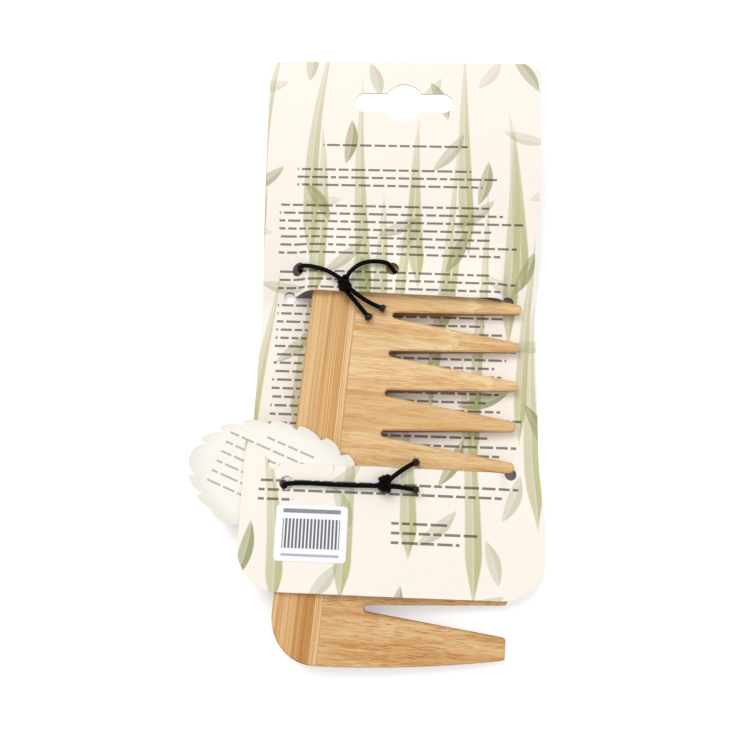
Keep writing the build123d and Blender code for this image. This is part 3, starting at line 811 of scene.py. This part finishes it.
# ==== elastic ties
# routes of the ties, in millimetres
UPPER_LOOP = (
    (-23.78, 27.26, 11.43), (-27.84, 30.2, 11.15), (-35.62, 31.82, 10.66),
    (-39.12, 31.96, 8.49), (-38.56, 31.96, 3.1), (-34.5, 31.96, 0.85), (-6.4, 31.75, 0.85),
    (-6.4, 31.89, 6.86), (-8.85, 33.95, 8.26), (-10.67, 35.35, 10.31), (-18.23, 34.65, 10.73),
    (-22.66, 29.78, 11.43), (-22.94, 27.26, 11.57),
)
UPPER_LEFT_TAIL = ((-23.5, 25.02, 11.29), (-19.16, 21.24, 9.61), (-14.82, 17.04, 8.32))
UPPER_RIGHT_TAIL = ((-21.96, 25.3, 11.57), (-16.64, 21.52, 9.61), (-10.76, 20.26, 8.32))
LOWER_LOOP = (
    (-6.17, -35.31, 11.06), (-14.43, -36.01, 10.36), (-29.44, -36.52, 10.08),
    (-34.8, -37.54, 10.01), (-34.8, -37.54, 0.85), (-6.4, -31.75, 0.85), (-6.4, -31.75, 6.72),
    (-5.19, -34.33, 8.26), (-4.91, -34.61, 10.36),
)
LOWER_UPPER_TAIL = ((-3.65, -33.63, 11.06), (-0.71, -30.13, 10.36), (3.77, -27.19, 8.56))
LOWER_LOWER_TAIL = ((-3.51, -35.17, 11.06), (0.69, -34.89, 10.22), (4.33, -35.31, 9.52))
UPPER_KNOT = (-23.22, 25.86, 11.71)
LOWER_KNOT = (-4.77, -34.61, 11.41)
KNOT_LEAN = 20.0    # of the upper knot, in degrees
TUBE_SIDES = 16
BRAID_UV = "round_and_along"
COIL_TURNS = 3.3    # of a knot's wraps, side by side
COIL_LENGTH = 4.1    # in millimetres
COIL_POINTS = 52
OVER_TURNS = 0.92    # of the one wrap that lies slantwise over them
OVER_SLANT = math.radians(-38)
OVER_POINTS = 24
THREADS = 15    # round each melted tip


def elastic_material():
    """Braided elastic: two sets of threads cross round the cord, from its own UV map, with painted
    shade between them.
    """
    options = bpy.context.scene.carded_comb_tie
    material, tree = empty_material("braided_elastic")
    uv = add_node(tree, "ShaderNodeUVMap", uv_map=BRAID_UV).outputs[0]
    part = axes(tree, uv)
    turns = times(tree, part["X"], math.tau * 4)
    plaits = times(tree, part["Y"], math.tau / options.braid_pitch)
    left = calc(tree, "SINE", plus(tree, turns, plaits))
    right = calc(tree, "SINE", minus(tree, turns, plaits))
    braid = calc(tree, "MAXIMUM", left, right)
    place = tree.nodes.new("ShaderNodeTexCoord").outputs["Object"]
    fuzz = noise(tree, place, 5200.0)
    # painted shade in the grooves between the threads, lighter on their crests
    painted_crest_light = ramp(tree, braid, -0.4, 1.0, 0.0, 0.6)
    painted_groove_shade = mixed(options.colour, (0, 0, 0, 1), 0.6)
    colour = blend(tree, painted_crest_light, painted_groove_shade, options.colour)
    height = plus(tree, braid, times(tree, fuzz, 0.5))
    rough = ramp(tree, fuzz, 0.3, 0.7, 0.36, 0.52)
    surface(tree, colour, rough, 0.06, bump(tree, height, 0.7, 0.00007))
    return material


def melted_material(name, colour, singed):
    """Melted elastic: black where it has run, and rust-brown in its singed threads."""
    material, tree = empty_material(name)
    place = tree.nodes.new("ShaderNodeTexCoord").outputs["Object"]
    lumps = noise(tree, place, 1700.0)
    singe = ramp(tree, noise(tree, place, 2900.0, 1.0), 0.6 - singed, 0.7 - singed)
    colour = blend(tree, singe, colour, linear(112, 54, 26))
    rough = ramp(tree, lumps, 0.3, 0.7, 0.1, 0.28)
    surface(tree, colour, rough, 0.3, bump(tree, lumps, 0.5, 0.0001))
    return material


def tie_materials():
    """The three finishes of the ties, made once."""
    found = bpy.data.materials.get
    return {
        "elastic": found("braided_elastic") or elastic_material(),
        "melted": found("melted_elastic")
        or melted_material("melted_elastic", linear(5, 4, 4), 0.0),
        "singed": found("singed_threads")
        or melted_material("singed_threads", linear(30, 14, 8), 0.2),
    }


def route_line(name, points):
    """The smooth line of a route, as places in metres."""
    curve = bpy.data.curves.new(name + "_route", "CURVE")
    curve.dimensions = "3D"
    curve.resolution_u = 10
    spline = curve.splines.new("NURBS")
    spline.points.add(len(points) - 1)
    for point, place in zip(spline.points, points):
        point.co = (*(value * MM for value in place), 1.0)
    spline.order_u = 3
    spline.use_endpoint_u = True
    holder = bpy.data.objects.new(name + "_route", curve)
    bpy.context.scene.collection.objects.link(holder)
    bpy.context.view_layer.update()
    line = bpy.data.meshes.new_from_object(holder)
    places = [vertex.co.copy() for vertex in line.vertices]
    bpy.data.objects.remove(holder)
    bpy.data.curves.remove(curve)
    bpy.data.meshes.remove(line)
    return places


def rings_along(places, diameter):
    """Rings of points round a line, without twist, and how far along the line each one is."""
    rings = []
    lengths = []
    travelled = 0.0
    across = (places[1] - places[0]).normalized().orthogonal().normalized()
    for index, place in enumerate(places):
        before = places[max(index - 1, 0)]
        after = places[min(index + 1, len(places) - 1)]
        heading = (after - before).normalized()
        across = (across - heading * across.dot(heading)).normalized()
        other = heading.cross(across)
        travelled += (place - before).length
        lengths.append(travelled)
        ring = []
        for side in range(TUBE_SIDES):
            angle = math.tau * side / TUBE_SIDES
            out = across * math.cos(angle) + other * math.sin(angle)
            ring.append(place + out * diameter / 2)
        rings.append(ring)
    return rings, lengths


def tube(name, places, diameter, material):
    """A tube along a line, with a UV map that runs round it and along it."""
    mesh = bpy.data.meshes.new(name)
    shape = bmesh.new()
    layer = shape.loops.layers.uv.new(BRAID_UV)
    rings, lengths = rings_along(places, diameter)
    rings = [[shape.verts.new(place) for place in ring] for ring in rings]
    for index in range(len(rings) - 1):
        for side in range(TUBE_SIDES):
            corners = ((index, side), (index, side + 1), (index + 1, side + 1), (index + 1, side))
            face = shape.faces.new([rings[ring][turn % TUBE_SIDES] for ring, turn in corners])
            face.smooth = True
            for loop, (ring, turn) in zip(face.loops, corners):
                loop[layer].uv = (turn / TUBE_SIDES, lengths[ring])
    shape.faces.new(reversed(rings[0]))
    shape.faces.new(rings[-1])
    shape.normal_update()
    shape.to_mesh(mesh)
    shape.free()
    piece = bpy.data.objects.new(name, mesh)
    bpy.context.scene.collection.objects.link(piece)
    mesh.materials.append(material)
    return piece


def select(pieces):
    """Selects these alone; the first one is the active one."""
    bpy.ops.object.select_all(action="DESELECT")
    for piece in pieces:
        piece.select_set(True)
    bpy.context.view_layer.objects.active = pieces[0]


def stand_for(piece, node):
    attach(piece, "carded_comb")
    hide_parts(node)


def knot_wraps(name, centre, lean, node, material):
    """Tight wraps side by side, and one more pulled slantwise over them."""
    options = bpy.context.scene.carded_comb_tie
    radius = options.knot_radius / MM
    turn = Matrix.Rotation(math.radians(lean), 3, "Z")
    coil = []
    for step in range(COIL_POINTS + 1):
        share = step / COIL_POINTS
        angle = math.tau * COIL_TURNS * share - 0.6
        loose = radius * (1 + 0.09 * math.sin(share * 16))
        y = (share - 0.5) * COIL_LENGTH + 0.12 * math.sin(share * 9)
        coil.append(Vector((loose * math.cos(angle), y, loose * math.sin(angle))))
    over = []
    slant = Matrix.Rotation(OVER_SLANT, 3, "Z")
    for step in range(OVER_POINTS + 1):
        angle = math.tau * step / OVER_POINTS * OVER_TURNS + 2.2
        ring = Vector((1.32 * radius * math.cos(angle), 0.3, 1.2 * radius * math.sin(angle)))
        over.append(slant @ ring)
    core = [Vector((0, y, 0.2)) for y in (-2.4, -0.8, 0.8, 2.4)]
    pieces = []
    for suffix, offsets, size in (("wraps", coil, 1.0), ("over", over, 1.0), ("core", core, 1.3)):
        points = [tuple(Vector(centre) + turn @ offset) for offset in offsets]
        line = route_line(name, points)
        pieces.append(tube(f"{name}_{suffix}", line, options.diameter * size, material))
    select(pieces)
    bpy.ops.object.join()
    stand_for(pieces[0], node)


def melted_bead(name, place, radius, material):
    """The lumpy bead of a melted tip."""
    bpy.ops.object.select_all(action="DESELECT")
    bpy.ops.mesh.primitive_ico_sphere_add(subdivisions=4, radius=radius, location=place)
    bead = bpy.context.object
    bead.name = name
    lumps = bpy.data.textures.new(name + "_lumps", "CLOUDS")
    lumps.noise_scale = 0.0009
    melt = bead.modifiers.new("melt", "DISPLACE")
    melt.texture = lumps
    melt.strength = 0.00035
    melt.mid_level = 0.55
    melt.texture_coords = "GLOBAL"
    bpy.ops.object.modifier_apply(modifier="melt")
    bpy.ops.object.shade_smooth()
    bead.data.materials.append(material)
    return bead


def melted_tip(name, place, heading, materials, seed):
    """A melted bead on the end of a tail, with a few singed threads round it."""
    radius = bpy.context.scene.carded_comb_tie.tip_diameter / 2
    parts = [melted_bead(name, place, radius, materials["melted"])]
    across = heading.orthogonal().normalized()
    for index in range(THREADS):
        angle = math.tau * (index + 0.37 * math.sin(index * 2.1 + seed)) / THREADS
        out = Matrix.Rotation(angle, 3, heading) @ across
        out = (out + heading * (0.5 + 0.4 * math.sin(index * 1.7 + seed))).normalized()
        length = 0.0004 + 0.0002 * math.sin(index * 3.3 + seed)
        bpy.ops.object.select_all(action="DESELECT")
        bpy.ops.mesh.primitive_cone_add(
            vertices=7, radius1=0.00028, radius2=0.00006, depth=length * 2,
            location=place + out * (radius * 0.92 + length * 0.5),
            rotation=out.to_track_quat("Z", "Y").to_euler(),
        )
        bpy.ops.object.shade_smooth()
        bpy.context.object.data.materials.append(materials["singed"])
        parts.append(bpy.context.object)
    select(parts)
    bpy.ops.object.transform_apply(location=True, rotation=True, scale=True)
    bpy.ops.object.join()
    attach(parts[0], "carded_comb")


def whole_tie(level, loop, knot, lean, tails):
    """One tie: its braided loop, its knot, and its two tails with their melted tips."""
    options = bpy.context.scene.carded_comb_tie
    materials = tie_materials()
    elastic = materials["elastic"]
    line = route_line(f"{level}_loop", loop)
    braid = tube(f"{level}_tie_braid", line, options.diameter, elastic)
    stand_for(braid, f"{level}_tie_loop")
    knot_name = f"{level}_tie_knot"
    knot_wraps(knot_name + "_wraps", knot, lean, knot_name, elastic)
    for side, points, seed in tails:
        name = f"{level}_{side}_tail"
        places = route_line(name, points)
        stand_for(tube(name, places, options.diameter, elastic), f"{level}_tie_{side}_tail")
        heading = (places[-1] - places[-2]).normalized()
        melted_tip(name + "_tip", places[-1], heading, materials, seed)


class CARDEDCOMB_OT_upper_tie(bpy.types.Operator):
    """Makes the upper elastic tie with its knot and two melted tails"""

    bl_idname = "carded_comb.upper_tie"
    bl_label = "Upper Tie"

    def execute(self, context):
        tails = (("left", UPPER_LEFT_TAIL, 0.4), ("right", UPPER_RIGHT_TAIL, 1.9))
        whole_tie("upper", UPPER_LOOP, UPPER_KNOT, KNOT_LEAN, tails)
        return {"FINISHED"}


class CARDEDCOMB_OT_lower_tie(bpy.types.Operator):
    """Makes the lower elastic tie, which also holds the leaf tag"""

    bl_idname = "carded_comb.lower_tie"
    bl_label = "Lower Tie"

    def execute(self, context):
        tails = (("upper", LOWER_UPPER_TAIL, 2.7), ("lower", LOWER_LOWER_TAIL, 4.1))
        whole_tie("lower", LOWER_LOOP, LOWER_KNOT, 0.0, tails)
        return {"FINISHED"}


# ==== stage
FLOOR_SIZE = 3.0
FLOOR_DROP = 0.0002    # below the object, so that the two faces don't coincide
FLOOR_LIFT = 0.32    # how strongly the floor glows to the camera, so that it shows as white
PAINTED_SHADE_HALF_SIZE = (0.0445, 0.05)    # half the width and length of the painted shade on the floor under the card
PAINTED_LIGHT_HOLE = (-35.9 * MM, 26.7 * MM, 0.0)    # a spot of painted light on the floor under this hole
CAMERA_PLACE = (-0.94 * MM, -54.6 * MM, 219.47 * MM)
CAMERA_ANGLES = (14.863, 3.533, 5.092)    # about X, Y and Z in turn, in degrees
LAMPS = (
    # each lamp's setting, size and place, in metres
    ("key", 0.6, (-0.35, 0.45, 0.9)),
    ("fill", 0.5, (0.5, -0.2, 0.6)),
)


def floor_material(colour):
    """A pale floor that shows as white and keeps the shadows, with painted shade under the card and a
    painted spot of light under one hole.
    """
    material, tree = empty_material("pale_floor")
    place, _ = sheet_place(tree, CARD_CENTRE, CARD_TURN)
    part = axes(tree, place)
    aside, away = (
        calc(tree, "DIVIDE", unsigned(tree, part[axis]), half)
        for axis, half in zip("XY", PAINTED_SHADE_HALF_SIZE)
    )
    # painted shade: under the card the floor is darker and glows less
    clear = ramp(tree, calc(tree, "MAXIMUM", aside, away), 0.85, 0.98)
    # painted light: a bright spot on the floor under the hole, cut out of the painted shade
    from_hole = vector_calc(tree, "DISTANCE", place, PAINTED_LIGHT_HOLE, output="Value")
    painted_light_spot = ramp(tree, from_hole, 0.0019, 0.0023, 1.0, 0.0)
    clear = calc(tree, "MAXIMUM", clear, painted_light_spot)
    # the grey of the painted shade under the card
    colour = blend(tree, clear, linear(170, 168, 170), colour)
    plain = add_node(
        tree, "ShaderNodeBsdfPrincipled",
        {"Base Color": colour, "Roughness": 0.9, "Specular IOR Level": 0.1},
    ).outputs[0]
    glow = add_node(
        tree, "ShaderNodeEmission",
        {"Color": (1, 1, 1, 1), "Strength": times(tree, clear, FLOOR_LIFT)},
    ).outputs[0]
    lifted = add_node(tree, "ShaderNodeAddShader", {0: plain, 1: glow}).outputs[0]
    rays = tree.nodes.new("ShaderNodeLightPath").outputs
    seen = calc(tree, "MAXIMUM", rays["Is Camera Ray"], rays["Is Glossy Ray"])
    finish_shader(tree, add_node(tree, "ShaderNodeMixShader", {0: seen, 1: plain, 2: lifted}))
    return material


def area_lamp(name, power, size, place):
    """A square lamp that looks at the object's middle."""
    data = bpy.data.lights.new(name, "AREA")
    data.energy = power
    data.size = size
    lamp = bpy.data.objects.new(name, data)
    lamp.location = place
    lamp.rotation_euler = (-Vector(place)).to_track_quat("-Z", "Y").to_euler()
    bpy.context.scene.collection.objects.link(lamp)


def even_light(strength):
    """Even white light from all round, which the camera sees at full strength."""
    world = bpy.data.worlds.new("even_light")
    world.use_nodes = True
    tree = world.node_tree
    sky = tree.nodes["Background"].inputs
    sky["Color"].default_value = (1, 1, 1, 1)
    rays = tree.nodes.new("ShaderNodeLightPath").outputs
    tree.links.new(calc(tree, "MAXIMUM", rays["Is Camera Ray"], strength), sky["Strength"])
    return world


class CARDEDCOMB_OT_stage(bpy.types.Operator):
    """Sets the floor, the lamps, the even light and the camera"""

    bl_idname = "carded_comb.stage"
    bl_label = "Stage"

    def execute(self, context):
        options = context.scene.carded_comb_stage
        bpy.ops.object.select_all(action="DESELECT")
        bpy.ops.mesh.primitive_plane_add(size=FLOOR_SIZE, location=(0, 0, -FLOOR_DROP))
        floor = context.object
        floor.name = "floor"
        floor.data.materials.append(floor_material(options.floor))
        for name, size, place in LAMPS:
            area_lamp(name + "_lamp", getattr(options, name), size, place)
        context.scene.world = even_light(options.sky)
        data = bpy.data.cameras.new("camera")
        data.lens = options.lens
        data.sensor_width = 36.0
        camera = bpy.data.objects.new("camera", data)
        camera.location = CAMERA_PLACE
        camera.rotation_mode = "ZYX"
        camera.rotation_euler = tuple(math.radians(angle) for angle in CAMERA_ANGLES)
        context.scene.collection.objects.link(camera)
        context.scene.camera = camera
        context.scene.view_settings.view_transform = "Standard"
        return {"FINISHED"}


# ==== add-on
class CARDEDCOMB_PT_panel(bpy.types.Panel):
    """Every setting, with the buttons that use it"""

    bl_idname = "CARDEDCOMB_PT_panel"
    bl_label = "Carded Comb"
    bl_space_type = "VIEW_3D"
    bl_region_type = "UI"
    bl_category = "Carded Comb"

    def draw(self, context):
        layout = self.layout
        for title, name, steps in PANEL_ROWS:
            layout.label(text=title)
            options = getattr(context.scene, name)
            for prop in options.bl_rna.properties:
                if prop.identifier not in ("rna_type", "name"):
                    layout.prop(options, prop.identifier)
            for step in steps:
                layout.operator(step)


PANEL_ROWS = (
    ("Stage", "carded_comb_stage", ("carded_comb.stage",)),
    ("Ties", "carded_comb_tie", ("carded_comb.upper_tie", "carded_comb.lower_tie")),
    ("Comb", "carded_comb_bamboo", ("carded_comb.comb_strips",)),
    ("Card", "carded_comb_card", ("carded_comb.hang_card",)),
    ("Label and tag", "carded_comb_paper", ("carded_comb.price_label", "carded_comb.leaf_tag")),
)
SETTINGS = {
    "carded_comb_bamboo": BambooSettings,
    "carded_comb_card": CardSettings,
    "carded_comb_paper": PaperSettings,
    "carded_comb_tie": TieSettings,
    "carded_comb_stage": StageSettings,
}
CLASSES = (
    *SETTINGS.values(),
    CARDEDCOMB_OT_stage,
    CARDEDCOMB_OT_upper_tie,
    CARDEDCOMB_OT_lower_tie,
    CARDEDCOMB_OT_comb_strips,
    CARDEDCOMB_OT_hang_card,
    CARDEDCOMB_OT_price_label,
    CARDEDCOMB_OT_leaf_tag,
    CARDEDCOMB_PT_panel,
)


def register():
    for item in CLASSES:
        bpy.utils.register_class(item)
    for name, group in SETTINGS.items():
        setattr(bpy.types.Scene, name, bpy.props.PointerProperty(type=group))


def unregister():
    for name in SETTINGS:
        delattr(bpy.types.Scene, name)
    for item in reversed(CLASSES):
        bpy.utils.unregister_class(item)


def main():
    register()
    bpy.ops.carded_comb.stage()
    bpy.ops.carded_comb.upper_tie()
    bpy.ops.carded_comb.lower_tie()
    bpy.ops.carded_comb.comb_strips()
    bpy.ops.carded_comb.hang_card()
    bpy.ops.carded_comb.price_label()
    bpy.ops.carded_comb.leaf_tag()


if __name__ == "__main__":
    main()
